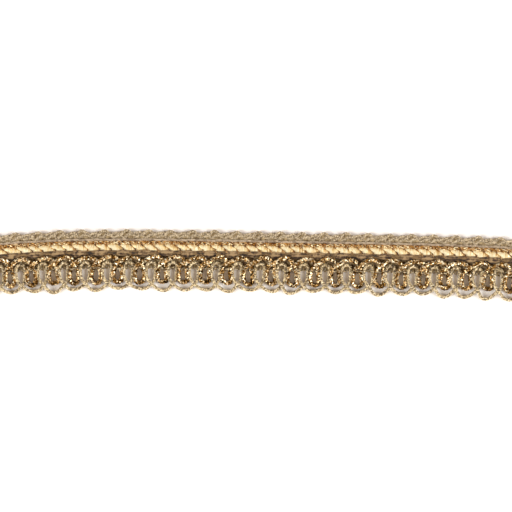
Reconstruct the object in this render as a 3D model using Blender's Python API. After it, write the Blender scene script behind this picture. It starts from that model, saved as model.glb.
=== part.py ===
"""Metallic gimp lace trim: a cut length lying flat in a slight bow, seen from above.

+X runs along the trim, +Y towards the picot edge, +Z up from the surface it lies on. The origin is the middle
of the bounding box's underside. Sizes are in millimetres, and MM turns them into metres where points are made.

A crocheted ground carries everything: a thick heading with a picot edge, then a thin part on which a flat foil
ribbon and a chain of thick yarn lie side by side. Two gimp cords hang from its lower edge in loops. The khaki
cord makes narrow upright loops joined by wide scallops, and crosses itself below each upright loop. The gold
cord makes hanging loops inside the scallops, joined by leaning arches that cross over the ground's lower edge.
"""

import bmesh
import bpy
import numpy as np

MM = 0.001

# Layout along the trim
PITCH = 5.276
REPEATS = 26
HALF_LENGTH = 68.2
BOW = (  # along, up: the line midway between both edges, from end to end
    (-68.0, -1.11),
    (-47.4, 0.27),
    (-31.9, 0.51),
    (0.0, 0.00),
    (30.0, -0.41),
    (53.2, -1.23),
    (68.0, -2.06),
)
BOW_DEGREE = 4
MID_LINE_AT = (0.085, 0.728)

# Ground with its heading and picots
GROUND_ROWS = (  # up from the mid line, thickness, zigzag ridge, share of the picots' rise
    (0.55, 0.30, 0.00, 0.0),
    (0.90, 0.45, 0.00, 0.0),
    (4.25, 0.45, 0.00, 0.0),
    (4.60, 0.95, 0.00, 0.0),
    (5.45, 1.15, -0.12, 0.1),
    (6.35, 1.10, 0.12, 0.6),
    (6.95, 0.45, 0.05, 1.0),
)
PICOT_PITCH = 5.30
PICOT_START = -0.65
PICOT_RISE = 0.56
PICOT_SHARPNESS = 1.3

# Foil ribbon and chain band, each lying on the ground's thin part
LAID_HEIGHT = 0.75
RIBBON_EDGES = (2.45, 3.75)
RIBBON_EDGE_THICKNESS = 0.12
RIBBON_PUFF = 0.30
CHAIN_EDGES = (1.25, 2.15)
CHAIN_EDGE_THICKNESS = 0.22
CHAIN_PUFF = 0.42
CELLS_PER_REPEAT = 2
CELL_LEAN = 0.4
CREASE = 0.35
STRIP_COLUMNS_PER_REPEAT = 6
LAID_ROWS = 4
SHARP_ANGLE = 0.7

# A cord has six sides and lies on one of them, which is this share of its radius from its middle
FLAT_SIDE = 0.8661

# Khaki cord
KHAKI_DIAMETER = 0.66
KHAKI_LIFT = 0.80
KHAKI_ROUTE = (  # along from the upright loop's middle, up from the mid line, lift, share of the scallop's place
    (-2.64, -7.11, 0.0, 1.0),
    (-1.60, -6.90, 0.0, 0.8),
    (-0.73, -6.39, 0.0, 0.3),
    (0.00, -5.66, 0.0, 0.0),
    (0.65, -4.57, 0.0, 0.0),
    (0.82, -3.05, 0.0, 0.0),
    (0.79, -1.55, 0.0, 0.0),
    (0.54, -0.85, 0.0, 0.0),
    (0.00, -0.60, 0.0, 0.0),
    (-0.54, -0.85, 0.0, 0.0),
    (-0.79, -1.55, 0.0, 0.0),
    (-0.82, -3.05, 0.0, 0.0),
    (-0.65, -4.57, 0.5, 0.0),
    (0.00, -5.66, 1.0, 0.0),
    (0.73, -6.39, 0.6, 0.3),
    (1.60, -6.90, 0.0, 0.8),
)
KHAKI_FIRST_ROW = 15
KHAKI_LAST_ROW = 1

# Gold cord
GOLD_DIAMETER = 0.74
GOLD_LIFT = 0.95
GOLD_ROUTE = (  # along from the hanging loop's middle, up from the mid line, lift, share of the loop's drop
    (-0.78, -4.16, 0.0, 0.6),
    (-0.79, -2.78, 0.0, 0.0),
    (-0.72, -1.65, 0.5, 0.0),
    (-0.15, -0.87, 1.0, 0.0),
    (0.87, -0.22, 1.0, 0.0),
    (1.98, 0.39, 1.0, 0.0),
    (3.24, 0.73, 1.0, 0.0),
    (4.45, 0.53, 0.9, 0.0),
    (5.37, -0.24, 0.1, 0.0),
    (5.97, -1.36, 0.0, 0.0),
    (6.07, -2.76, 0.0, 0.0),
    (6.06, -4.16, 0.0, 0.6),
    (5.86, -4.94, 0.0, 1.0),
    (5.28, -5.23, 0.0, 1.0),
    (4.70, -4.94, 0.0, 1.0),
)
GOLD_FIRST_ROW = 6
GOLD_LAST_ROW = 5

# How far each scallop lies off its even place, from the left: its shift along and its drop
SCALLOPS = (
    (0.0, 0.0), (0.1, -0.2), (0.6, -0.1), (-0.2, 0.4), (-0.4, -0.2), (-0.3, 0.1), (0.2, -0.4),
    (0.6, -0.3), (0.3, 0.1), (0.5, -0.1), (0.4, -0.2), (0.6, 0.1), (0.4, -0.3), (0.4, -0.1),
    (-0.6, 0.3), (-0.5, -0.3), (0.0, -0.1), (-0.5, -0.2), (-0.3, 0.3), (0.4, 0.0), (-0.3, -0.2),
    (-0.2, 0.4), (-0.6, 0.3), (-0.5, 0.5), (0.1, 0.4), (0.0, 0.1),
)
LOOP_SHARE = 0.4
SWAY = 0.16

FINISHES = {  # base colour as linear RGB, roughness, metallic
    "ground_braid": ((0.40, 0.31, 0.19), 0.75, 0.0),
    "foil_ribbon": ((0.85, 0.62, 0.27), 0.28, 1.0),
    "chain_band": ((0.19, 0.13, 0.07), 0.70, 0.0),
    "khaki_gimp": ((0.50, 0.41, 0.22), 0.60, 0.2),
    "gold_gimp": ((0.62, 0.38, 0.11), 0.30, 1.0),
}


def clear_scene():
    for obj in list(bpy.data.objects):
        bpy.data.objects.remove(obj)


def new_collection(name):
    collection = bpy.data.collections.new(name)
    bpy.context.scene.collection.children.link(collection)
    return collection


def finish_of(name):
    colour, roughness, metallic = FINISHES[name]
    material = bpy.data.materials.new(name)
    material.use_nodes = True
    shader = material.node_tree.nodes["Principled BSDF"]
    shader.inputs["Base Color"].default_value = (*colour, 1.0)
    shader.inputs["Roughness"].default_value = roughness
    shader.inputs["Metallic"].default_value = metallic
    material.diffuse_color = (*colour, 1.0)
    return material


def add_object(name, data, collection):
    data.materials.append(finish_of(name))
    obj = bpy.data.objects.new(name, data)
    collection.objects.link(obj)
    return obj


def bow_line():
    """The bowed mid line as a polynomial, and its length from x = 0 to a row of x values."""
    curve = np.polyfit(*np.array(BOW).T, BOW_DEGREE)
    x = np.linspace(-1.1 * HALF_LENGTH, 1.1 * HALF_LENGTH, 2001)
    steps = np.hypot(np.diff(x), np.diff(np.polyval(curve, x)))
    length = np.concatenate([[0.0], np.cumsum(steps)])
    return curve, x, length - np.interp(0.0, x, length)


BOW_CURVE, BOW_X, BOW_LENGTH = bow_line()


def on_bow(along, up):
    """World X and Y of a place measured along the mid line and square to it."""
    x = np.interp(along, BOW_LENGTH, BOW_X)
    slope = np.polyval(np.polyder(BOW_CURVE), x)
    square = up / np.hypot(1.0, slope)
    return MID_LINE_AT[0] + x - slope * square, MID_LINE_AT[1] + np.polyval(BOW_CURVE, x) + square


def swayed(along):
    """Small uneven shifts along the trim, which neighbouring cords share."""
    turns = 2 * np.pi * along / PITCH
    return along + SWAY * (np.sin(0.17 * turns) + np.sin(0.41 * turns + 1.3)) / 2


def relief_strip(name, rows, up_of_row, thickness, floor, collection):
    """A strip with a flat underside. Its top is a grid that rises and falls, and is extruded down to the floor."""
    columns = REPEATS * STRIP_COLUMNS_PER_REPEAT
    mesh = bmesh.new()
    bmesh.ops.create_grid(mesh, x_segments=columns, y_segments=rows - 1, size=1.0)
    for vert in mesh.verts:
        along = HALF_LENGTH * vert.co.x
        row = (vert.co.y + 1) / 2 * (rows - 1)
        x, y = on_bow(along, up_of_row(row, along))
        vert.co = (x * MM, y * MM, (floor + thickness(row, along)) * MM)
    extruded = bmesh.ops.extrude_face_region(mesh, geom=mesh.faces[:])["geom"]
    for vert in extruded:
        if isinstance(vert, bmesh.types.BMVert):
            vert.co.z = floor * MM
    underside = [face for face in extruded if isinstance(face, bmesh.types.BMFace)]
    bmesh.ops.dissolve_faces(mesh, faces=underside)
    bmesh.ops.recalc_face_normals(mesh, faces=mesh.faces)
    data = bpy.data.meshes.new(name)
    mesh.to_mesh(data)
    mesh.free()
    data.shade_smooth()
    data.set_sharp_from_angle(angle=SHARP_ANGLE)
    return add_object(name, data, collection)


def picot(along):
    """1 at each picot's tip and 0 between two of them."""
    wave = (1 + np.cos(2 * np.pi * (along - PICOT_START) / PICOT_PITCH)) / 2
    return wave**PICOT_SHARPNESS


def ground(collection):
    """The crocheted ground: its thin part, its thick heading with a zigzag ridge, and the picot edge."""
    numbers = np.arange(len(GROUND_ROWS))
    ups, thicknesses, ridges, shares = np.array(GROUND_ROWS).T

    def up_of_row(row, along):
        return np.interp(row, numbers, ups) + PICOT_RISE * np.interp(row, numbers, shares) * picot(along)

    def thickness(row, along):
        ridge = np.interp(row, numbers, ridges) * (2 * picot(along) - 1)
        return np.interp(row, numbers, thicknesses) + ridge

    return relief_strip("ground_braid", len(GROUND_ROWS), up_of_row, thickness, 0.0, collection)


def laid_strip(name, edges, edge_thickness, puff, collection):
    """A strip of puffed cells with leaning creases between them, laid on the ground's thin part."""
    cell = PITCH / CELLS_PER_REPEAT
    last = LAID_ROWS - 1

    def up_of_row(row, along):
        return np.interp(row, (0, last), edges)

    def thickness(row, along):
        crown = np.sin(np.pi * row / last)
        lean = CELL_LEAN * cell * (row / last - 0.5)
        cushion = abs(np.sin(np.pi * (along + lean) / cell))
        return edge_thickness + puff * crown * (CREASE + (1 - CREASE) * cushion)

    return relief_strip(name, LAID_ROWS, up_of_row, thickness, LAID_HEIGHT, collection)


def route(table, start, diameter, lift, first_row, last_row, unevenness):
    """A cord's points: the table's rows for every repeat, moved to each one's uneven place and cut at both ends."""
    points = []
    for repeat in range(REPEATS + 1):
        for number, (along, up, lifted, share) in enumerate(table):
            if repeat == 0 and number < first_row or repeat == REPEATS and number > last_row:
                continue
            shift, drop = unevenness(repeat, along)
            x, y = on_bow(swayed(start + repeat * PITCH + along) + share * shift, up - share * drop)
            points.append((x * MM, y * MM, (diameter / 2 * FLAT_SIDE + lifted * lift) * MM))
    return points


def cord(name, points, diameter, collection):
    """A round cord along its points, as a bevelled curve with closed ends."""
    curve = bpy.data.curves.new(name, "CURVE")
    curve.dimensions = "3D"
    curve.twist_mode = "Z_UP"
    curve.bevel_depth = diameter / 2 * MM
    curve.bevel_resolution = 1
    curve.use_fill_caps = True
    spline = curve.splines.new("POLY")
    spline.points.add(len(points) - 1)
    for point, place in zip(spline.points, points):
        point.co = (*place, 1.0)
    return add_object(name, curve, collection)


def khaki_gimp(collection):
    def unevenness(repeat, along):
        return SCALLOPS[repeat - (along < 0)]

    start = -REPEATS / 2 * PITCH
    ends = KHAKI_FIRST_ROW, KHAKI_LAST_ROW
    points = route(KHAKI_ROUTE, start, KHAKI_DIAMETER, KHAKI_LIFT, *ends, unevenness)
    return cord("khaki_gimp", points, KHAKI_DIAMETER, collection)


def gold_gimp(collection):
    def unevenness(repeat, along):
        return 0.0, LOOP_SHARE * SCALLOPS[repeat - (along < PITCH / 2)][1]

    start = -(REPEATS + 1) / 2 * PITCH
    ends = GOLD_FIRST_ROW, GOLD_LAST_ROW
    points = route(GOLD_ROUTE, start, GOLD_DIAMETER, GOLD_LIFT, *ends, unevenness)
    return cord("gold_gimp", points, GOLD_DIAMETER, collection)


def main():
    clear_scene()
    collection = new_collection("metallic_lace_trim")
    ground(collection)
    laid_strip("foil_ribbon", RIBBON_EDGES, RIBBON_EDGE_THICKNESS, RIBBON_PUFF, collection)
    laid_strip("chain_band", CHAIN_EDGES, CHAIN_EDGE_THICKNESS, CHAIN_PUFF, collection)
    khaki_gimp(collection)
    gold_gimp(collection)


main()
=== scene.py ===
"""Looks of the metallic gimp lace trim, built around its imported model.

Every piece is a closed surface worked out with numpy: rings of points carried along a path, and joined. Sizes
are in millimetres: along the trim, up across it from its mid line, and high above the surface it lies on.
world() lays them on the trim's bowed mid line.
"""

import bpy
import numpy as np
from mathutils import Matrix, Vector

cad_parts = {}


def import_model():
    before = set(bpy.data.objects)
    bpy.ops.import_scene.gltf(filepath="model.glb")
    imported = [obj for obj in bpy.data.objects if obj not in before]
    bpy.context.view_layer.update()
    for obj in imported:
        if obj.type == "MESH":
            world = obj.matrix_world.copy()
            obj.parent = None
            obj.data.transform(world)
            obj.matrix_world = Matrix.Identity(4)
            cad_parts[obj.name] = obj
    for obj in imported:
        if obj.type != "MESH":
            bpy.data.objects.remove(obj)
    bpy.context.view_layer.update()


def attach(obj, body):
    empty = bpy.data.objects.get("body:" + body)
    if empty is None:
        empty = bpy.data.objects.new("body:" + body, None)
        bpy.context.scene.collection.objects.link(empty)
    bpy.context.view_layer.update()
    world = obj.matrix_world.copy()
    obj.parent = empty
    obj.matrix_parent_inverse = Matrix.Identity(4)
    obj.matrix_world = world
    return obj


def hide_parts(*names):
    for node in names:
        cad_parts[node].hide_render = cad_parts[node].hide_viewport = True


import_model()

MM = 0.001
TURN = 2 * np.pi
UP = (0.0, 0.0, 1.0)
OUT_OF_STEP = 2.618  # times the turns: two such waves never come into step

# The layout, as the part's source has it, but with wider loops, because the full cords are thicker
PITCH = 5.276
REPEATS = 26
HALF_LENGTH = 68.2
BOW = (  # along, up: the line midway between both edges
    (-68.0, -1.11),
    (-47.4, 0.27),
    (-31.9, 0.51),
    (0.0, 0.00),
    (30.0, -0.41),
    (53.2, -1.23),
    (68.0, -2.06),
)
BOW_DEGREE = 4
MID_LINE_AT = (0.085, 0.728)  # where its middle is on the surface
PICOT_PITCH = 5.30
PICOT_START = -0.80
SWAY = 0.16
SWAY_TURNS = (0.17, 0.41)  # of its two waves in each repeat
CLEARANCE = 0.06  # how far a cord's mean surface is above what it lies on
LOOP_SHARE = 0.4
SCALLOPS = (  # each scallop's shift along and its drop, from the left
    (0.0, 0.0), (0.1, -0.2), (0.6, -0.1), (-0.2, 0.4), (-0.4, -0.2), (-0.3, 0.1), (0.2, -0.4),
    (0.6, -0.3), (0.3, 0.1), (0.5, -0.1), (0.4, -0.2), (0.6, 0.1), (0.4, -0.3), (0.4, -0.1),
    (-0.6, 0.3), (-0.5, -0.3), (0.0, -0.1), (-0.5, -0.2), (-0.3, 0.3), (0.4, 0.0), (-0.3, -0.2),
    (-0.2, 0.4), (-0.6, 0.3), (-0.5, 0.5), (0.1, 0.4), (0.0, 0.1),
)
KHAKI_ROUTE = (  # along from the upright loop's middle, up, lift, share of the scallop's place
    (-2.64, -7.42, 0.0, 1.0),
    (-1.60, -7.17, 0.0, 0.8),
    (-0.75, -6.52, 0.0, 0.3),
    (0.00, -5.78, 0.0, 0.0),
    (0.64, -4.92, 0.0, 0.0),
    (0.88, -3.90, 0.0, 0.0),
    (0.97, -2.75, 0.0, 0.0),
    (1.05, -1.62, 0.0, 0.0),
    (0.90, -0.90, 0.1, 0.0),
    (0.00, -0.56, 0.2, 0.0),
    (-0.70, -0.86, 0.2, 0.0),
    (-1.12, -1.62, 0.2, 0.0),
    (-1.18, -2.75, 0.4, 0.0),
    (-1.12, -3.90, 0.4, 0.0),
    (-0.68, -4.92, 0.5, 0.0),
    (0.00, -5.78, 0.9, 0.0),
    (0.75, -6.52, 0.6, 0.3),
    (1.60, -7.17, 0.0, 0.8),
)
KHAKI_FIRST_ROW = 17
KHAKI_LAST_ROW = 1
GOLD_ROUTE = (  # along from the hanging loop's middle, up, lift, share of the loop's drop and of its painted shade
    (-1.16, -3.70, 0.05, 0.0),
    (-1.12, -2.95, 0.0, 0.1),
    (-1.00, -2.12, 0.15, 0.6),
    (-0.74, -1.42, 0.6, 0.5),
    (-0.10, -0.94, 1.0, 0.0),
    (0.60, -0.60, 1.0, 0.0),
    (1.32, -0.15, 1.0, 0.0),
    (2.08, 0.28, 1.0, 0.0),
    (2.95, 0.62, 1.0, 0.0),
    (3.82, 0.63, 1.0, 0.0),
    (4.66, 0.30, 0.8, 0.0),
    (5.34, -0.32, 0.3, 0.2),
    (5.82, -1.20, 0.1, 0.6),
    (6.10, -2.35, 0.0, 0.4),
    (6.20, -3.40, 0.0, 0.0),
    (6.27, -4.50, 0.0, 0.4),
    (6.00, -5.34, 0.0, 0.9),
    (5.32, -5.61, 0.0, 0.8),
    (4.60, -5.34, 0.0, 0.3),
    (4.16, -4.54, 0.0, 0.0),
)
GOLD_FIRST_ROW = 8
GOLD_LAST_ROW = 7

# The heading's own yarns: along from a multiple of PICOT_PITCH, up, lift. Each table is one repeat.
PICOT_YARN_ROUTE = (  # up a long slope to the picot's tip, and steeply down behind it
    (-3.30, 5.36, 0.0),
    (-2.70, 5.78, 0.4),
    (-2.00, 5.92, 0.7),
    (-1.55, 6.24, 0.8),
    (-1.20, 6.66, 0.8),
    (-0.78, 6.93, 0.6),
    (-0.22, 6.94, 0.4),
    (0.26, 6.68, 0.2),
    (0.62, 6.22, 0.0),
    (1.10, 5.90, 0.0),
    (1.55, 5.45, 0.0),
)
VALLEY_YARN_ROUTE = (  # over the foot of the picot, and low under the next slope
    (-0.75, 5.40, 0.4),
    (-0.35, 5.82, 0.8),
    (0.25, 6.04, 1.0),
    (0.95, 6.04, 0.9),
    (1.50, 6.22, 0.5),
    (2.15, 6.42, 0.2),
    (2.85, 6.50, 0.0),
    (3.30, 6.20, 0.0),
    (3.70, 5.55, 0.0),
    (4.10, 5.30, 0.1),
)


def bow_line():
    """The bowed mid line as a polynomial, and its length from x = 0 at a row of x values."""
    curve = np.polyfit(*np.array(BOW).T, BOW_DEGREE)
    x = np.linspace(-1.1 * HALF_LENGTH, 1.1 * HALF_LENGTH, 2001)
    steps = np.hypot(np.diff(x), np.diff(np.polyval(curve, x)))
    length = np.concatenate([[0.0], np.cumsum(steps)])
    return curve, x, length - np.interp(0.0, x, length)


BOW_CURVE, BOW_X, BOW_LENGTH = bow_line()


def world(along, up, high):
    """Places on the bowed trim: a distance along its mid line, one square to it, and one straight up."""
    x = np.interp(along, BOW_LENGTH, BOW_X)
    slope = np.polyval(np.polyder(BOW_CURVE), x)
    square = up / np.hypot(1.0, slope)
    across = MID_LINE_AT[0] + x - slope * square
    forward = MID_LINE_AT[1] + np.polyval(BOW_CURVE, x) + square
    return np.stack(np.broadcast_arrays(across, forward, high), axis=-1)


def swayed(along):
    """The uneven shifts that neighbouring cords share: two slow sine waves along the trim."""
    turns = TURN * along / PITCH
    return along + SWAY * (np.sin(SWAY_TURNS[0] * turns) + np.sin(SWAY_TURNS[1] * turns + 1.3)) / 2


def wave(at, length, size, start=0.0):
    """An uneven wave: the mean of two sines that never come into step, size high at most."""
    turns = TURN * at / length
    return size * (np.sin(turns + start) + np.sin(OUT_OF_STEP * turns + 2.1 * start)) / 2


def uneven(number, start):
    """An irregular value for each numbered loop, -1 to 1: the sine of its number squared."""
    return np.sin(2.4 * number * number + start)


def picot(along):
    """The picots' rise, 0 in a valley and 1 at a tip: a raised cosine."""
    return (1 + np.cos(TURN * (along - PICOT_START) / PICOT_PITCH)) / 2


def smooth(rows, steps=12):
    """A Catmull-Rom curve: cubics, whose slope at each row is half the step between the rows beside it."""
    rows = np.vstack([rows[:1], rows, rows[-1:]])
    before, here, there, after = rows[:-3, None], rows[1:-2, None], rows[2:-1, None], rows[3:, None]
    t = np.linspace(0, 1, steps, endpoint=False)[:, None]
    curve = here + t * (there - before) / 2
    curve = curve + t**2 * (2 * before - 5 * here + 4 * there - after) / 2
    curve = curve + t**3 * (3 * here - before - 3 * there + after) / 2
    return np.vstack([curve.reshape(-1, rows.shape[1]), rows[-1:]])


def evenly(path, step):
    """The path with its points a step apart, and each point's distance from its start."""
    distance = np.concatenate([[0.0], np.cumsum(np.linalg.norm(np.diff(path[:, :3], axis=0), axis=1))])
    at = np.linspace(0, distance[-1], round(distance[-1] / step))
    return np.stack([np.interp(at, distance, column) for column in path.T], axis=1), at


def sides_of(path):
    """The two directions square to a path at each point: the level one, and the one square to that."""
    ahead = np.gradient(path, axis=0)
    beside = np.cross(ahead, UP)
    above = np.cross(beside, ahead)
    return beside / np.linalg.norm(beside, axis=1)[:, None], above / np.linalg.norm(above, axis=1)[:, None]


def rings_round(path, radius, sides, flat=1.0):
    """A ring round each point: the radius times the cosine beside it, and times flat and the sine above."""
    beside, above = sides_of(path)
    angle = TURN * np.arange(sides)[:, None] / sides
    out = np.cos(angle) * beside[:, None] + flat * np.sin(angle) * above[:, None]
    return path[:, None] + np.reshape(radius, (-1, 1, 1)) * out


TWIST_WAVER = 0.8  # radians by which a twist runs ahead or behind
WAVER_LAYS = 9  # how many lays long that wave is
DIVE_LAYS = 2.3  # how many lays from one dive of a wound thread to the next


def plied(path, step, plies, radius, thickness, lay, sides, start=0.0, bend_shade=0.0, lumps=(3.1, 0.10)):
    """Plies twisted round a path. A ply's middle goes round the path once in each lay, and the lay wavers.

    It is out from the path by the cord's radius less half the ply's thickness. A point's crown, which sets
    its painted groove shade, is its distance from the path over the cord's radius, less bend_shade times the
    path's fourth column: painted shade where that column is high. lumps are the length and share of its
    swellings.
    """
    path, at = evenly(path, step)
    # Painted shade at the bends, where the path's fourth column is high
    painted_bend_shade = bend_shade * path[:, 3, None] if bend_shade else 0.0
    path = path[:, :3]
    beside, above = sides_of(path)
    sweeps = []
    for ply in range(plies):
        waver = wave(at, WAVER_LAYS * abs(lay), TWIST_WAVER, start + 1)
        turn = (TURN * (at / lay + ply / plies) + waver)[:, None] + start
        middle = path + (radius - thickness / 2) * (np.cos(turn) * beside + np.sin(turn) * above)
        swollen = thickness / 2 * (1 + wave(at, *lumps, start + 2 * ply))
        rings = rings_round(middle, swollen, sides)
        sweeps.append((rings, at, np.linalg.norm(rings - path[:, None], axis=2) / radius - painted_bend_shade))
    return sweeps


def thread(path, step, thickness, sides=6):
    """One plain thread along a path."""
    path, at = evenly(path, step)
    rings = rings_round(path, thickness / 2, sides)
    return [(rings, at, np.ones(rings.shape[:2]))]


def wound(path, step, radius, thickness, lay, sides, start, dive):
    """A thread wound round a path like a screw thread, once in each lay, which dives under now and then."""
    path, at = evenly(path[:, :3], step)
    beside, above = sides_of(path)
    turn = (TURN * at / lay + start + wave(at, WAVER_LAYS * abs(lay), TWIST_WAVER, start))[:, None]
    out = radius + wave(at, DIVE_LAYS * abs(lay), dive, start)[:, None]
    return thread(path + out * (np.cos(turn) * beside + np.sin(turn) * above), step, thickness, sides)


def strip(step, columns, lower, upper, top, under, crown):
    """A strip along the trim. A ring goes over its top from the lower edge to the upper, and back underneath.

    lower and upper are the edges. top and crown give the height and the crown from the distance along and the
    share across.
    """
    along = np.linspace(-HALF_LENGTH, HALF_LENGTH, round(2 * HALF_LENGTH / step))[:, None]
    share = np.linspace(0, 1, columns)[None]
    low, high = np.broadcast_arrays(lower(along), upper(along))
    up = low + share * (high - low)
    over = world(along, up, top(along, share))
    back = world(along, up[:, ::-1], under)
    rings = np.concatenate([over, back], axis=1)
    crowns = np.broadcast_to(crown(along, share), up.shape)
    return [(rings, along[:, 0], np.concatenate([crowns, crowns[:, ::-1]], axis=1))]


def piece(name, sweeps, finish, node=None):
    """One mesh of closed tubes, each from a sweep: its rings, their distances along, and the points' crowns.

    Neighbouring rings are joined by quads, and one flat face closes each end. The UV map "lay" has the share
    round the ring and the distance along, in millimetres.
    """
    points, crowns, corners, sizes, lays, base = [], [], [], [], [], 0
    for rings, at, crown in sweeps:
        count, around = rings.shape[:2]
        ring, side = np.meshgrid(np.arange(count - 1), np.arange(around), indexing="ij")
        rows = np.stack([ring, ring + 1, ring + 1, ring], axis=-1).ravel()
        rows = np.concatenate([rows, np.zeros(around, int), np.full(around, count - 1)])
        turns = np.stack([side, side, side + 1, side + 1], axis=-1).ravel()
        turns = np.concatenate([turns, np.arange(around), np.arange(around)[::-1]])
        corners.append(base + rows * around + turns % around)
        lays.append(np.stack([turns / around, at[rows]], axis=-1))
        sizes.append(np.concatenate([np.full(ring.size, 4), (around, around)]))
        points.append(rings.reshape(-1, 3))
        crowns.append(crown.ravel())
        base += count * around
    points, corners, sizes = np.concatenate(points) * MM, np.concatenate(corners), np.concatenate(sizes)
    mesh = bpy.data.meshes.new(name)
    mesh.vertices.add(len(points))
    mesh.vertices.foreach_set("co", points.ravel().astype(np.float32))
    mesh.loops.add(len(corners))
    mesh.loops.foreach_set("vertex_index", corners.astype(np.int32))
    mesh.polygons.add(len(sizes))
    mesh.polygons.foreach_set("loop_start", (np.cumsum(sizes) - sizes).astype(np.int32))
    mesh.update(calc_edges=True)
    mesh.polygons.foreach_set("use_smooth", sizes == 4)
    mesh.uv_layers.new(name="lay").data.foreach_set("uv", np.concatenate(lays).ravel().astype(np.float32))
    layer = mesh.attributes.new("crown", "FLOAT", "POINT")
    layer.data.foreach_set("value", np.concatenate(crowns).astype(np.float32))
    mesh.materials.append(finish)
    made = bpy.data.objects.new(name, mesh)
    bpy.context.scene.collection.objects.link(made)
    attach(made, "root")
    if node:
        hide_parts(node)


RELIEF = 0.06  # how far a yarn's filaments stand out
GROOVE_CROWN = 0.55  # the crown at which a groove's painted shade is darkest
YARN_GROOVE_SHADE_SHARE = 0.6  # what the crown's painted groove shade, the patches and the filaments give to a yarn's tone
YARN_PATCH_SHARE = 3.2
YARN_RIDGE_SHARE = 0.3
YARN_OFFSET = -1.55
WAVE_TEXTURE = 20  # at scale 1 the wave texture has this many waves in each TURN
FLECK_EDGE = 0.06  # how far the noise rises across a fleck's soft edge
FILM_BRIGHTEST = 1.10  # the tone of the brightest facet on a crown


def linear(colour):
    """An sRGB hex colour as linear RGBA."""
    srgb = np.array([int(colour[place : place + 2], 16) for place in (1, 3, 5)]) / 255
    rgb = np.where(srgb <= 0.04045, srgb / 12.92, ((srgb + 0.055) / 1.055) ** 2.4)
    return (*rgb.tolist(), 1.0)


def add(tree, kind, inputs=None, **settings):
    """Adds a node. inputs gives its sockets, by name or number, a value or another node's output."""
    made = tree.nodes.new(kind)
    for key, value in settings.items():
        setattr(made, key, value)
    for key, value in (inputs or {}).items():
        if isinstance(value, bpy.types.NodeSocket):
            tree.links.new(value, made.inputs[key])
        else:
            made.inputs[key].default_value = value
    return made


def shades(tree, factor, stops):
    """A colour ramp of (place, hex colour) stops."""
    made = add(tree, "ShaderNodeValToRGB", {"Fac": factor})
    elements = made.color_ramp.elements
    for number, (place, colour) in enumerate(stops):
        element = elements[number] if number < 2 else elements.new(place)
        element.position = place
        element.color = linear(colour)
    return made.outputs["Color"]


def mixed_tone(tree, shares):
    """One tone from several outputs: each is times its share, and they are added, from 0 to 1."""
    total = None
    for output, share, offset in shares:
        last = {0: output, 1: share, 2: offset if total is None else total}
        total = add(tree, "ShaderNodeMath", last, operation="MULTIPLY_ADD").outputs[0]
    return add(tree, "ShaderNodeMath", {0: total, 1: 0.0}, operation="ADD", use_clamp=True).outputs[0]


def wound_yarn(name, stops, roughness, sheen, grain, wrap=None, strands=None, flecks=None):
    """Yarn of soft shiny filaments. Its grooves get painted shade from the crown, so its crowns are lighter,
    and it is patchy.

    grain is the size of its uneven patches in millimetres. Its filaments are either wound round it, wrap
    millimetres apart, or laid along it, so many strands round it. flecks gives the colour, size and share of
    the metallised filament that shows here and there, painted into the matte yarn: partly its own pale
    colour, partly a painted glint.
    """
    material = bpy.data.materials.new(name)
    material.use_nodes = True
    tree = material.node_tree
    shader = tree.nodes["Principled BSDF"]
    crown = add(tree, "ShaderNodeAttribute", attribute_name="crown").outputs["Fac"]
    # Painted shade: the crown gives a tone that is darkest in the grooves
    height = add(tree, "ShaderNodeMapRange", {"Value": crown, "From Min": GROOVE_CROWN}).outputs["Result"]
    place = add(tree, "ShaderNodeTexCoord")
    spots = {"Vector": place.outputs["Object"], "Scale": 1 / (grain * MM), "Detail": 3.0}
    patches = add(tree, "ShaderNodeTexNoise", spots).outputs["Fac"]
    period = wrap or 1 / strands
    threads = {"Vector": place.outputs["UV"], "Scale": TURN / (WAVE_TEXTURE * period), "Distortion": 1.5}
    ridges = add(tree, "ShaderNodeTexWave", threads, bands_direction="Y" if wrap else "X").outputs["Fac"]
    shares = (
        (height, YARN_GROOVE_SHADE_SHARE, YARN_OFFSET),
        (patches, YARN_PATCH_SHARE, 0.0),
        (ridges, YARN_RIDGE_SHARE, 0.0),
    )
    colour = shades(tree, mixed_tone(tree, shares), stops)
    if flecks:
        fleck, size, share = flecks
        spots = {"Vector": place.outputs["Object"], "Scale": 1 / (size * MM), "Detail": 1.0}
        bits = add(tree, "ShaderNodeTexNoise", spots).outputs["Fac"]
        edges = {"Value": bits, "From Min": 1 - share, "From Max": 1 + FLECK_EDGE - share}
        cover = add(tree, "ShaderNodeMapRange", edges).outputs["Result"]
        blend = {0: cover, 6: colour, 7: linear(fleck)}
        colour = add(tree, "ShaderNodeMix", blend, data_type="RGBA").outputs[2]
    relief = add(tree, "ShaderNodeBump", {"Strength": 0.5, "Distance": RELIEF * MM, "Height": ridges})
    tree.links.new(colour, shader.inputs["Base Color"])
    tree.links.new(relief.outputs["Normal"], shader.inputs["Normal"])
    shader.inputs["Roughness"].default_value = roughness
    shader.inputs["Sheen Weight"].default_value = sheen
    return material


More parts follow.
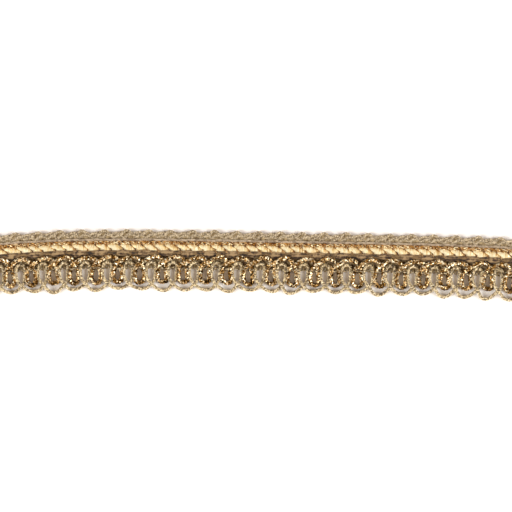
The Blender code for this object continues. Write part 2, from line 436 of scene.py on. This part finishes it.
def metallised(name, stops, roughness, metallic, facet, tilt, spread=0.80, groove_shade=0.35, stretch=1.0):
    """Metallised film. It is creased into flat facets that tip this way and that, so they flash or go dark.

    facet is their size in millimetres, tilt how far each one's own direction pulls its normal over, spread
    how much their tones differ, groove_shade how much darker the grooves are painted than the crowns, a
    painted shade, and stretch how many times as long facets are across the trim as along it.
    """
    material = bpy.data.materials.new(name)
    material.use_nodes = True
    tree = material.node_tree
    shader = tree.nodes["Principled BSDF"]
    crown = add(tree, "ShaderNodeAttribute", attribute_name="crown").outputs["Fac"]
    # Painted shade: darker in the grooves, by groove_shade
    above_groove = {"Value": crown, "From Min": GROOVE_CROWN}
    height = add(tree, "ShaderNodeMapRange", above_groove, clamp=False).outputs["Result"]
    place = add(tree, "ShaderNodeTexCoord")
    longer = {0: place.outputs["Object"], 1: (1.0, 1 / stretch, 1.0)}
    stretched = add(tree, "ShaderNodeVectorMath", longer, operation="MULTIPLY").outputs[0]
    cells = {"Vector": stretched, "Scale": 1 / (facet * MM)}
    own = add(tree, "ShaderNodeTexVoronoi", cells).outputs["Color"]
    each = add(tree, "ShaderNodeSeparateColor", {"Color": own}).outputs["Red"]
    tone = mixed_tone(tree, ((height, groove_shade, FILM_BRIGHTEST - groove_shade - spread), (each, spread, 0.0)))
    middle = add(tree, "ShaderNodeVectorMath", {0: own, 1: (0.5, 0.5, 0.5)}, operation="SUBTRACT").outputs[0]
    scaled = add(tree, "ShaderNodeVectorMath", {0: middle, "Scale": tilt}, operation="SCALE").outputs[0]
    normal = add(tree, "ShaderNodeNewGeometry").outputs["Normal"]
    tipped = add(tree, "ShaderNodeVectorMath", {0: normal, 1: scaled}, operation="ADD").outputs[0]
    even = add(tree, "ShaderNodeVectorMath", {0: tipped}, operation="NORMALIZE").outputs[0]
    tree.links.new(shades(tree, tone, stops), shader.inputs["Base Color"])
    tree.links.new(even, shader.inputs["Normal"])
    shader.inputs["Metallic"].default_value = metallic
    shader.inputs["Roughness"].default_value = roughness
    return material


WANDER_LENGTH = 13.0
HEADING_WANDER = (17.0, 0.12)  # length, size


def route(table, start, first_row, last_row, radius, lift, own_place, wander=0.0):
    """A cord's middle: the table's rows for each repeat, each at its own uneven place, on a smooth curve.

    It wanders up and down along the trim as well. The fourth column is each point's share.
    """
    rows = []
    for repeat in range(REPEATS + 1):
        for number, (along, up, lifted, share) in enumerate(table):
            if repeat == 0 and number < first_row or repeat == REPEATS and number > last_row:
                continue
            shift, drop = own_place(repeat, along)
            at = swayed(start + repeat * PITCH + along) + share * shift
            rows.append((at, up - share * drop, lifted, share))
    along, up, lifted, share = smooth(np.array(rows)).T
    up = up + wave(along, WANDER_LENGTH, wander)
    middle = world(along, up, radius + CLEARANCE + lift * np.clip(lifted, 0, 1))
    return np.column_stack([middle, np.clip(share, 0, 1)])


def heading_route(table, high, lift):
    """A heading yarn's middle: the table's rows in every repeat between the cut ends, on a smooth curve."""
    repeats = np.arange(-REPEATS // 2 - 1, REPEATS // 2 + 2)[:, None]
    along, up, lifted = (np.array(table)[None, :, column] for column in range(3))
    rows = np.stack(np.broadcast_arrays(repeats * PICOT_PITCH + along, up, lifted), axis=-1).reshape(-1, 3)
    rows[:, 1] += wave(rows[:, 0], *HEADING_WANDER)
    along, up, lifted = smooth(rows).T
    kept = abs(along) < HALF_LENGTH
    return world(along, up, high + lift * lifted)[kept]


# Camera, floor and light
CAMERA_AT = (-0.88, 2.01, 465.0)  # straight above the photograph's middle, with 124 mm across its frame
LENS = 135.0
FLOOR_HALF = 3.0

scene = bpy.context.scene
scene.view_settings.view_transform = "Standard"
camera = bpy.data.objects.new("camera", bpy.data.cameras.new("camera"))
camera.data.lens = LENS
camera.data.clip_start = 0.01
camera.location = Vector(CAMERA_AT) * MM
scene.collection.objects.link(camera)
scene.camera = camera

# Ivory card, matt and lit so well that only its shadows show its colour
card = bpy.data.materials.new("ivory_card")
card.use_nodes = True
card.node_tree.nodes["Principled BSDF"].inputs["Base Color"].default_value = linear("#FCFAF7")
card.node_tree.nodes["Principled BSDF"].inputs["Roughness"].default_value = 0.9
corners = [(x * FLOOR_HALF, y * FLOOR_HALF, 0.0) for x, y in ((-1, -1), (1, -1), (1, 1), (-1, 1))]
floor_mesh = bpy.data.meshes.new("floor")
floor_mesh.from_pydata(corners, [], [(0, 1, 2, 3)])
floor_mesh.materials.append(card)
floor = bpy.data.objects.new("floor", floor_mesh)
scene.collection.objects.link(floor)

# The room is pale round the horizon and dim brown overhead, so film lying level and deep gaps don't go white
ROOM_STRENGTH = 1.9
room = bpy.data.worlds.new("studio")
scene.world = room
room.use_nodes = True
looking = add(room.node_tree, "ShaderNodeTexCoord").outputs["Generated"]
height = add(room.node_tree, "ShaderNodeSeparateXYZ", {"Vector": looking}).outputs["Z"]
walls = shades(room.node_tree, height, ((0.0, "#FCFBFF"), (0.7, "#726457"), (0.3, "#D8D4D6")))
room.node_tree.links.new(walls, room.node_tree.nodes["Background"].inputs["Color"])
room.node_tree.nodes["Background"].inputs["Strength"].default_value = ROOM_STRENGTH

LAMPS = (  # name, where the light comes from, how wide it looks in degrees, strength
    ("key_left", (-0.95, -0.28, 0.62), 25.0, 2.3),
    ("fill_right", (0.95, -0.28, 0.62), 30.0, 2.1),
)
for name, place, width, strength in LAMPS:
    lamp = bpy.data.objects.new(name, bpy.data.lights.new(name, "SUN"))
    lamp.data.angle = np.radians(width)
    lamp.data.energy = strength
    lamp.rotation_euler = Vector(place).to_track_quat("Z", "Y").to_euler()
    scene.collection.objects.link(lamp)

# Finishes
# Rayon gimp yarn, wound and then crocheted: soft, with a dull shine, darker where stitches dip
crocheted_rayon = wound_yarn(
    "crocheted_rayon_gimp",
    ((0.05, "#4A2C0C"), (0.95, "#B6A076"), (0.50, "#84704C")),
    roughness=0.75,
    sheen=0.2,
    grain=0.6,
    wrap=0.2,
)
# The same gimp in the picot edge, with a bit of metallised filament: cream flecks, partly its pale colour and
# partly a painted glint
picot_gimp = wound_yarn(
    "rayon_gimp_with_metallised_filament",
    ((0.05, "#50402A"), (0.95, "#C8B694"), (0.50, "#928062")),
    roughness=0.65,
    sheen=0.2,
    grain=0.36,
    wrap=0.13,
    flecks=("#E8D6AE", 0.38, 0.36),
)
# Khaki gimp: rayon filaments wound on a cotton core, twisted in three
khaki_rayon = wound_yarn(
    "khaki_rayon_gimp",
    ((0.24, "#2A1A06"), (0.92, "#E8D4A8"), (0.60, "#80683E")),
    roughness=0.6,
    sheen=0.2,
    grain=0.38,
    wrap=0.13,
    flecks=("#F4E4BC", 0.38, 0.38),
)
# Taupe rayon, thick and softly twisted: matt, with painted shade between its plies
taupe_rayon = wound_yarn(
    "taupe_twisted_rayon",
    ((0.08, "#2C1602"), (0.88, "#A68A60"), (0.46, "#745A38")),
    roughness=0.7,
    sheen=0.15,
    grain=0.9,
    strands=26,
)
# The darker ply of the same chain
brown_rayon = wound_yarn(
    "brown_twisted_rayon",
    ((0.08, "#201000"), (0.88, "#84683E"), (0.46, "#5C4422")),
    roughness=0.7,
    sheen=0.15,
    grain=0.9,
    strands=26,
)
# Spun sewing thread, matt
brown_thread = wound_yarn(
    "brown_spun_thread",
    ((0.15, "#46280A"), (0.90, "#C89E62"), (0.50, "#7E5424")),
    roughness=0.8,
    sheen=0.1,
    grain=0.8,
    wrap=0.16,
)
tan_thread = wound_yarn(
    "tan_spun_thread",
    ((0.10, "#604628"), (0.90, "#B49264"), (0.50, "#8A6A46")),
    roughness=0.8,
    sheen=0.1,
    grain=0.8,
    wrap=0.16,
)
pale_thread = wound_yarn(
    "pale_lilac_filament_thread",
    ((0.10, "#8A745A"), (0.90, "#D0BC9E"), (0.50, "#AE9A7E")),
    roughness=0.5,
    sheen=0.2,
    grain=0.8,
    wrap=0.2,
)
# Gold gimp: metallised polyester film wound on yarn. Its creased facets flash or go dark
gold_film = metallised(
    "gold_metallised_film_gimp",
    ((0.04, "#180A00"), (0.90, "#FFF4D2"), (0.35, "#6C481A"), (0.57, "#B28A50"), (0.78, "#EED09C")),
    roughness=0.34,
    metallic=1.0,
    facet=0.32,
    tilt=1.3,
    spread=0.95,
    groove_shade=0.45,
)
# Amber metallised thread, finer and duller: the lock stitches
amber_film = metallised(
    "amber_metallised_thread",
    ((0.10, "#3C1C04"), (0.88, "#FFEEC0"), (0.38, "#8E5618"), (0.62, "#DAA454")),
    roughness=0.4,
    metallic=0.8,
    facet=0.40,
    tilt=1.0,
    spread=0.90,
    groove_shade=0.25,
)
# Pale metallised thread, the bright twist in the khaki gimp
cream_film = metallised(
    "pale_metallised_filament",
    ((0.10, "#A88C58"), (0.90, "#FFF6DA"), (0.50, "#E6D098")),
    roughness=0.35,
    metallic=0.6,
    facet=0.4,
    tilt=0.9,
)
# Lamé ribbon: flat metallised film woven tight, satiny and pale gold
lame_ribbon = metallised(
    "pale_gold_lame_ribbon",
    ((0.05, "#6E4014"), (0.92, "#FFF4CC"), (0.38, "#B8803A"), (0.63, "#F4D898")),
    roughness=0.42,
    metallic=0.35,
    facet=0.20,
    tilt=0.45,
    spread=0.50,
    groove_shade=0.65,
    stretch=7.0,
)

# Crocheted ground
GROUND_EDGES = (-1.55, 6.48)
GROUND_SHELL = 0.25
GROUND_PICOT = 0.55
GROUND_CROWN = 0.92
GROUND_PAINTED_SHADE = (  # share across, how much less the crown is: painted shade under the gold arches
    (0.08, 0.00),
    (0.14, 0.12),
    (0.26, 0.17),
    (0.34, 0.00),
)
GROUND_HEIGHTS = (  # share across, thickness
    (0.00, 0.12),
    (0.06, 0.20),
    (0.12, 0.40),
    (0.18, 0.55),
    (0.25, 0.64),
    (0.34, 0.60),
    (0.42, 0.45),
    (0.74, 0.42),
    (0.79, 0.66),
    (0.93, 0.62),
    (1.00, 0.35),
)
STITCH = PITCH / 8  # a crochet stitch's length
STITCH_ROWS = 12
STITCH_DEPTH = 0.10


def stitched(along, share):
    """The crocheted ground's height: rows of humps, its stitches, each row half a stitch past the last."""
    row = share * STITCH_ROWS
    hump = abs(np.sin(np.pi * (along / STITCH + np.floor(row) / 2))) * abs(np.sin(np.pi * row))
    return np.interp(share, *np.array(GROUND_HEIGHTS).T) + STITCH_DEPTH * (hump - 0.5)


def shells(along):
    """How far the ground's lowest row hangs down: a sine arc between each two upright loops."""
    return GROUND_SHELL * abs(np.sin(np.pi * along / PITCH))


def ground_crown(along, share):
    """One crown all along, less under the gold arches: painted shade there."""
    return GROUND_CROWN - np.interp(share, *np.array(GROUND_PAINTED_SHADE).T)


piece(
    "ground",
    strip(
        step=0.16,
        columns=45,
        lower=lambda along: GROUND_EDGES[0] - shells(along) + wave(along, length=2.9, size=0.3),
        upper=lambda along: GROUND_EDGES[1] + GROUND_PICOT * picot(along),
        top=stitched,
        under=0.02,
        crown=ground_crown,
    ),
    crocheted_rayon,
    "ground_braid",
)

# The ground's lowest row: loose yarn in small loops along its edge
EDGE_LOOP = 0.80
EDGE_SWING = 0.36
EDGE_BELOW = 0.30  # its middle, below the ground's edge
edge_at = np.linspace(-HALF_LENGTH, HALF_LENGTH, 2600)
edge_turn = TURN * edge_at / EDGE_LOOP + wave(edge_at, length=4.7, size=1.5)
edge_swing = EDGE_SWING * np.sin(edge_turn) + wave(edge_at, length=9.1, size=0.2)
edge_up = GROUND_EDGES[0] - EDGE_BELOW - shells(edge_at) + edge_swing
edge_yarn = thread(world(edge_at, edge_up, high=0.28), step=0.12, thickness=0.24)
piece("ground_edge_yarn", edge_yarn, crocheted_rayon)

# Picot heading: two gimp yarns that lean over each other, one up to the picots and one over their feet
HEADING_YARN = dict(step=0.13, plies=2, radius=0.36, thickness=0.45, lay=1.15, sides=8)
picots = heading_route(PICOT_YARN_ROUTE, high=0.50, lift=0.26)
valleys = heading_route(VALLEY_YARN_ROUTE, high=0.48, lift=0.28)
piece("picot_yarn", plied(picots, **HEADING_YARN), picot_gimp)
piece("valley_yarn", plied(valleys, **HEADING_YARN, start=1.7), picot_gimp)

# Threads along the heading's foot: two pale ones, a brown one that closes the seam, and the cord under it
WARPS = (  # up, height
    (4.92, 0.97),
    (4.66, 0.93),
)
WARP_THREAD = dict(step=0.25, plies=2, radius=0.13, thickness=0.17, lay=1.1, sides=6)
SEAM_THREAD = dict(step=0.25, plies=2, radius=0.14, thickness=0.18, lay=1.0, sides=6)
SEAM_CORD = dict(step=0.25, plies=2, radius=0.28, thickness=0.36, lay=1.4, sides=8)
trim = np.linspace(-HALF_LENGTH, HALF_LENGTH, 4000)
warps = []
for up, high in WARPS:
    wandering = up + wave(trim, length=6.0, size=0.10, start=up)
    warps += plied(world(trim, wandering, high), **WARP_THREAD, start=up)
seam = world(trim, 4.42 + wave(trim, length=5.0, size=0.05), high=0.84)
piece("warp_threads", warps, pale_thread)
piece("seam_thread", plied(seam, **SEAM_THREAD), brown_thread)
piece("seam_cord", plied(world(trim, up=4.12, high=0.62), **SEAM_CORD), tan_thread)

# Ties hold the ribbon down. Each goes down from the lock stitches, slants over the ribbon, and then dives
TIE_SPACING = 2.76
TIE_START = 2.80
TIE_SLANT = (  # share across the ribbon, how far along from the tie's foot
    (0.28, 0.0),
    (0.76, -1.1),
)


def facets(along, share):
    """How many ties the ribbon has passed: whole numbers fall on the ties, which slant and are uneven."""
    even = (along - TIE_START - np.interp(share, *np.array(TIE_SLANT).T)) / TIE_SPACING
    return even + wave(along, length=23.0, size=0.10, start=0.5) + wave(along, length=7.9, size=0.08)


# Lock stitches: two threads that cross twice between two ties
LOCK_UP = 4.05
LOCK_HIGH = 0.98
LOCK_SWING = 0.25
LOCK_RISE = 0.12
lock_turn = TURN * facets(trim, 1.0)
locks = []
for side in (-1, 1):
    up = LOCK_UP + side * LOCK_SWING * np.cos(lock_turn)
    high = LOCK_HIGH + side * LOCK_RISE * np.sin(lock_turn)
    locks += thread(world(trim, up, high), step=0.12, thickness=0.28)
piece("lock_stitches", locks, amber_film)

# Foil ribbon, puffed between its ties
RIBBON_EDGES = (2.09, 3.84)
RIBBON_DIP = 0.10
RIBBON_DIP_AT = 0.8  # from an upright loop's middle
FOLD_DEPTH = 0.5
FOLD_AT = 0.55  # in tie spacings, as is its width
FOLD_WIDTH = 0.07
CREASE_BLUNT = 0.4  # the power of the sine: less is sharper in the crease and blunter on the facet
CREASE_PULL = 0.9  # how far a tie pulls the ribbon down at its edges, as a share of its puff
CREASE_EASE = 0.5  # how much less in its middle
FACET_SLOPE = 0.30
RIBBON_LOW = 0.80
RIBBON_PUFF = 0.28
# Crowns for painted shade in the ties' creases and painted light on the facets
RIBBON_CREASE_CROWN = 0.62
RIBBON_FACET_CROWN = 0.96
RIBBON_STEEP = 1.1  # how fast the crown rises from crease to facet
RIBBON_FALL = 0.32  # how much the crown falls from a facet's left to its right: painted light on the left, painted shade on the right
RIBBON_LOCK_SHADE = 0.4  # how much less the crown is at the upper edge: painted shade under the lock stitches
RIBBON_LOCK_SHADE_FROM = 5 / 6  # share across where that begins
RIBBON_THICKNESS = 0.06


def folded(along, share):
    """1, but less along a fold between two ties: a bell curve, deep in some facets and missing in others."""
    passed = facets(along, share)
    deep = FOLD_DEPTH * np.clip(2 * uneven(np.floor(passed), 1.0), 0, 1)
    return 1 - deep * np.exp(-(((passed % 1 - FOLD_AT) / FOLD_WIDTH) ** 2))


def puffed(along, share):
    """The ribbon's height: a hump across, pulled down by a sharp crease at each tie, less so in its middle.

    puff is 0 in a crease and 1 on a facet. Each facet also slopes along the trim, one way or the other.
    """
    passed = facets(along, share)
    puff = abs(np.sin(np.pi * passed)) ** CREASE_BLUNT * folded(along, share)
    puff = 1 - (1 - puff) * (1 - CREASE_EASE * np.sin(np.pi * share) ** 2)
    hump = np.sin(np.pi * share) ** 0.5
    slope = FACET_SLOPE * (passed % 1 - 0.5) * uneven(np.floor(passed), 0.0)
    return RIBBON_LOW + RIBBON_PUFF * hump * (1 - CREASE_PULL + CREASE_PULL * puff) + slope * puff


def ribbon_edge(along):
    """The ribbon's lower edge: a cosine that is lowest over each dark link, and an uneven wave."""
    dip = RIBBON_DIP * np.cos(TURN * (along - RIBBON_DIP_AT) / PITCH)
    return RIBBON_EDGES[0] - dip + wave(along, length=5.9, size=0.14)


def ribbon_crown(along, share):
    """Painted light and shade: bright on the facets, less so towards their right, and painted shade at the
    ties, along folds and under the lock stitches.
    """
    passed = facets(along, share)
    rise = RIBBON_STEEP * abs(np.sin(np.pi * passed)) * folded(along, share)
    crown = np.minimum(RIBBON_CREASE_CROWN + rise, RIBBON_FACET_CROWN)
    # Painted shade under the lock stitches
    lock_shade = np.clip((share - RIBBON_LOCK_SHADE_FROM) / (1 - RIBBON_LOCK_SHADE_FROM), 0, 1)
    return crown - RIBBON_FALL * (passed % 1 - 0.5) - RIBBON_LOCK_SHADE * lock_shade


piece(
    "foil_ribbon_puffed",
    strip(
        step=0.16,
        columns=15,
        lower=ribbon_edge,
        upper=lambda along: RIBBON_EDGES[1] + wave(along, length=4.3, size=0.06),
        top=puffed,
        under=RIBBON_LOW - RIBBON_THICKNESS,
        crown=ribbon_crown,
    ),
    lame_ribbon,
    "foil_ribbon",
)

# The tying thread: thick where it dives at both edges of the ribbon, and hidden in its crease in between
TIE_ROWS = (  # share across, height, along from its foot, radius, crown, which paints shade: darkest at the top, under the lock stitches
    (1.04, 0.98, -0.98, 0.14, 0.45),
    (0.90, 1.08, -1.10, 0.16, 0.40),
    (0.76, 1.10, -1.08, 0.12, 0.60),
    (0.60, 0.96, -0.76, 0.06, 0.80),
    (0.45, 0.98, -0.40, 0.06, 0.80),
    (0.30, 1.12, -0.06, 0.10, 0.70),
    (0.14, 1.14, 0.08, 0.13, 0.55),
    (0.00, 1.12, 0.18, 0.10, 0.65),
    (-0.14, 1.14, 0.30, 0.10, 0.90),
    (-0.26, 1.08, 0.42, 0.09, 1.05),
)
TIE_UNEVEN = 0.25
TIE_SIDES = 6
TIE_MARGIN = 1.5  # from the trim's ends


def passing(passed):
    """The whole numbers that a rising row of values along the trim passes, each with its place."""
    wholes = np.arange(np.ceil(passed[0]), passed[-1])
    places = np.interp(wholes, passed, trim)
    kept = abs(places) < HALF_LENGTH - TIE_MARGIN
    return zip(wholes[kept], places[kept])


tie_share, tie_high, tie_along, tie_radius, tie_crown = np.array(TIE_ROWS).T
tie_up = RIBBON_EDGES[0] + tie_share * (RIBBON_EDGES[1] - RIBBON_EDGES[0])
ties = []
for number, foot in passing(facets(trim, 0.0)):
    own = 1 + TIE_UNEVEN * uneven(number, 0.0)
    rows = np.column_stack([world(foot + tie_along, tie_up, tie_high), own * tie_radius, tie_crown])
    tie, at = evenly(smooth(rows, steps=6), step=0.12)
    ties.append((rings_round(tie[:, :3], tie[:, 3], TIE_SIDES), at, np.repeat(tie[:, 4:], TIE_SIDES, axis=1)))
piece("ribbon_ties", ties, brown_thread)

# Brown knots in the lock stitches: a large one at the top of each tie, and a small one halfway to the next
KNOT_ROWS = (  # along, up, height
    (-0.16, 4.20, 0.95),
    (-0.06, 3.98, 1.18),
    (0.00, 3.76, 1.20),
    (0.04, 3.58, 1.10),
)
KNOT_AT = 0.07  # in tie spacings, from the tie's top
KNOT_THICKNESS = (0.34, 0.20)
knots = []
for number, middle in passing(2 * (facets(trim, 1.0) - KNOT_AT)):
    rows = np.array(KNOT_ROWS) + (middle, 0.0, 0.0)
    thickness = KNOT_THICKNESS[int(number) % 2]
    knots += thread(smooth(world(*rows.T), steps=6), step=0.08, thickness=thickness, sides=8)
piece("tie_knots", knots, brown_thread)

# Taupe chain band: thick soft yarn in links, a light one and a dark one in each repeat
LINK_RINGS = 33
LINK_FLAT = 0.55
LINK_SIDES = 20
LINK_PLIES = 5
LINK_TWIST = 4.0
LINK_BLUNT = 0.4  # the power of the sine: less is blunter
LINK_TIP = 0.06
LINK_SHIFT = (0.20, 0.08)  # how far a link lies off its place, along and up
LINK_LONGER = 0.06  # at most, as a share of its length
LINK_THINNER = 0.08  # at most, as a share of its radius
LINK_RIDGE = (0.86, 0.18)  # the share of the radius in a groove, and how much more on a ridge
LINK_CROWN = (0.44, 0.20, 0.60)  # everywhere, on the painted lit side, and on a ridge, so its grooves get painted shade
LINK_PAINTED_LIT = 0.9  # radians round a link, from its lower side to where its painted lit side begins
LINK_ENDS = (0.72, 0.30)  # the share of the crown at no swell, and how much more with it: painted shade at its ends
loops = np.arange(-REPEATS // 2 + 1, REPEATS // 2)


def links(place, up, reach, rise, radius, high, start):
    """One link in each repeat: a fat lens, its radius the sine of its share along to the power LINK_BLUNT.

    It leans by its rise. LINK_PLIES ridges twist along it. Its crown paints light and shade: lighter on
    its upper side, and painted shade on its lower side, at its ends and in its grooves.
    """
    share = np.linspace(0.0, 1.0, LINK_RINGS)
    swell = np.sin(np.pi * share) ** LINK_BLUNT + LINK_TIP
    angle = TURN * np.arange(LINK_SIDES) / LINK_SIDES
    sweeps = []
    for loop in loops:
        own = uneven(loop, start)
        middle = loop * PITCH + place + LINK_SHIFT[0] * own
        along = middle + reach * (1 + LINK_LONGER * own) * (2 * share - 1)
        path = world(along, up + LINK_SHIFT[1] * own + rise * (share - 0.5), high)
        rings = rings_round(path, radius * (1 - LINK_THINNER * own) * swell, LINK_SIDES, LINK_FLAT)
        ridge = 0.5 + 0.5 * np.cos(LINK_PLIES * angle + LINK_TWIST * share[:, None] + 3 * own)
        rings = path[:, None] + (rings - path[:, None]) * (LINK_RIDGE[0] + LINK_RIDGE[1] * ridge)[..., None]
        # Painted light on its upper side, and painted shade low, in the grooves and at the ends
        crown = LINK_CROWN[0] + LINK_CROWN[1] * np.sin(angle - LINK_PAINTED_LIT) + LINK_CROWN[2] * ridge
        crown = crown * np.minimum(1.0, LINK_ENDS[0] + LINK_ENDS[1] * swell)[:, None]
        sweeps.append((rings, along, crown))
    return sweeps


band = rings_round(world(trim[::4], up=1.72, high=0.66), radius=0.68, sides=12, flat=0.66)
piece("chain_core", [(band, trim[::4], np.ones(band.shape[:2]))], taupe_rayon, "chain_band")
dark_links = links(place=1.15, up=1.50, reach=1.85, rise=0.15, radius=0.70, high=0.92, start=1.0)
light_links = links(place=-1.55, up=1.54, reach=1.68, rise=0.42, radius=0.75, high=0.98, start=2.0)
piece("chain_dark_links", dark_links, brown_rayon)
piece("chain_light_links", light_links, taupe_rayon)

# Khaki gimp and gold gimp
KHAKI_RADIUS = 0.43
KHAKI_LIFT = 0.78
GOLD_RADIUS = 0.60
GOLD_LIFT = 0.77
GOLD_WANDER = 0.22
LOOP_WIDER = 0.20  # how much wider or narrower a hanging loop may be, as a share of its width
LOOP_SHIFT = 0.15
LOOP_DROP = 0.2


def khaki_place(repeat, along):
    """The shift and drop of the scallop that a row of the route belongs to."""
    return SCALLOPS[min(repeat - (along < 0), REPEATS - 1)]


def gold_place(repeat, along):
    """A hanging loop's shift and drop: a share of its scallop's drop, and each is uneven by itself."""
    loop = repeat + (along > PITCH / 2)
    from_middle = along - PITCH * (along > PITCH / 2)
    shift = LOOP_WIDER * from_middle * uneven(loop, 0.7) + LOOP_SHIFT * uneven(loop, 2.0)
    scallop_drop = SCALLOPS[min(max(loop - 1, 0), REPEATS - 1)][1]
    return shift, LOOP_SHARE * scallop_drop + LOOP_DROP * uneven(loop, 4.0)


khaki = route(
    KHAKI_ROUTE,
    start=-REPEATS / 2 * PITCH,
    first_row=KHAKI_FIRST_ROW,
    last_row=KHAKI_LAST_ROW,
    radius=KHAKI_RADIUS,
    lift=KHAKI_LIFT,
    own_place=khaki_place,
)
gold = route(
    GOLD_ROUTE,
    start=-(REPEATS + 1) / 2 * PITCH,
    first_row=GOLD_FIRST_ROW,
    last_row=GOLD_LAST_ROW,
    radius=GOLD_RADIUS,
    lift=GOLD_LIFT,
    own_place=gold_place,
    wander=GOLD_WANDER,
)
KHAKI_LAY = 1.20
KHAKI_CORD = dict(step=0.11, plies=3, radius=KHAKI_RADIUS, thickness=0.39, lay=KHAKI_LAY, sides=7)
BRIGHT_TWIST = dict(step=0.14, radius=KHAKI_RADIUS - 0.06, thickness=0.15, lay=KHAKI_LAY, sides=5)
GOLD_CORD = dict(step=0.11, plies=3, radius=GOLD_RADIUS, thickness=0.58, lay=-1.5, sides=7)
piece("khaki_cord", plied(khaki, **KHAKI_CORD), khaki_rayon, "khaki_gimp")
piece("khaki_bright_twist", wound(khaki, **BRIGHT_TWIST, start=0.5, dive=0.04), cream_film)

# The binding thread, laid over both cords
LAID_UP = -2.05
LAID_LOW = 0.3
LAID_THREAD = dict(step=0.15, plies=2, radius=0.13, thickness=0.16, lay=0.9, sides=6)
SOFTENED = 17  # points over which its height is evened out


def laid_over(along, up, cords, thickness, low):
    """A thread laid over cords, each its middle and radius. It is nowhere below low.

    It touches their tops, sqrt(reach squared - distance squared) over their middles.
    """
    line = world(along, up, low)
    near = np.concatenate([cord[::2, :3] for cord, radius in cords])
    reach = np.concatenate([np.full(len(cord[::2]), radius) for cord, radius in cords]) + thickness / 2
    distance = np.hypot(line[:, None, 0] - near[:, 0], line[:, None, 1] - near[:, 1])
    over = near[:, 2] + np.sqrt(np.clip(reach**2 - distance**2, 0, None))
    top = np.where(distance < reach, over, low).max(axis=1)
    soft = np.convolve(np.pad(top, SOFTENED // 2, mode="edge"), np.full(SOFTENED, 1 / SOFTENED), mode="valid")
    return world(along, up, np.maximum(soft, low))


laid_at = np.linspace(-HALF_LENGTH, HALF_LENGTH, 1400)
laid_up = LAID_UP + wave(laid_at, length=3.7, size=0.22)
laid = laid_over(laid_at, laid_up, ((khaki, KHAKI_RADIUS), (gold, GOLD_RADIUS)), thickness=0.2, low=LAID_LOW)
piece("binding_thread", plied(laid, **LAID_THREAD), khaki_rayon)
# The gold cord gets painted shade at its lower bends, from the route's fourth column
gold_plies = plied(gold, **GOLD_CORD, bend_shade=0.22, lumps=(1.1, 0.18))
piece("gold_cord", gold_plies, gold_film, "gold_gimp")
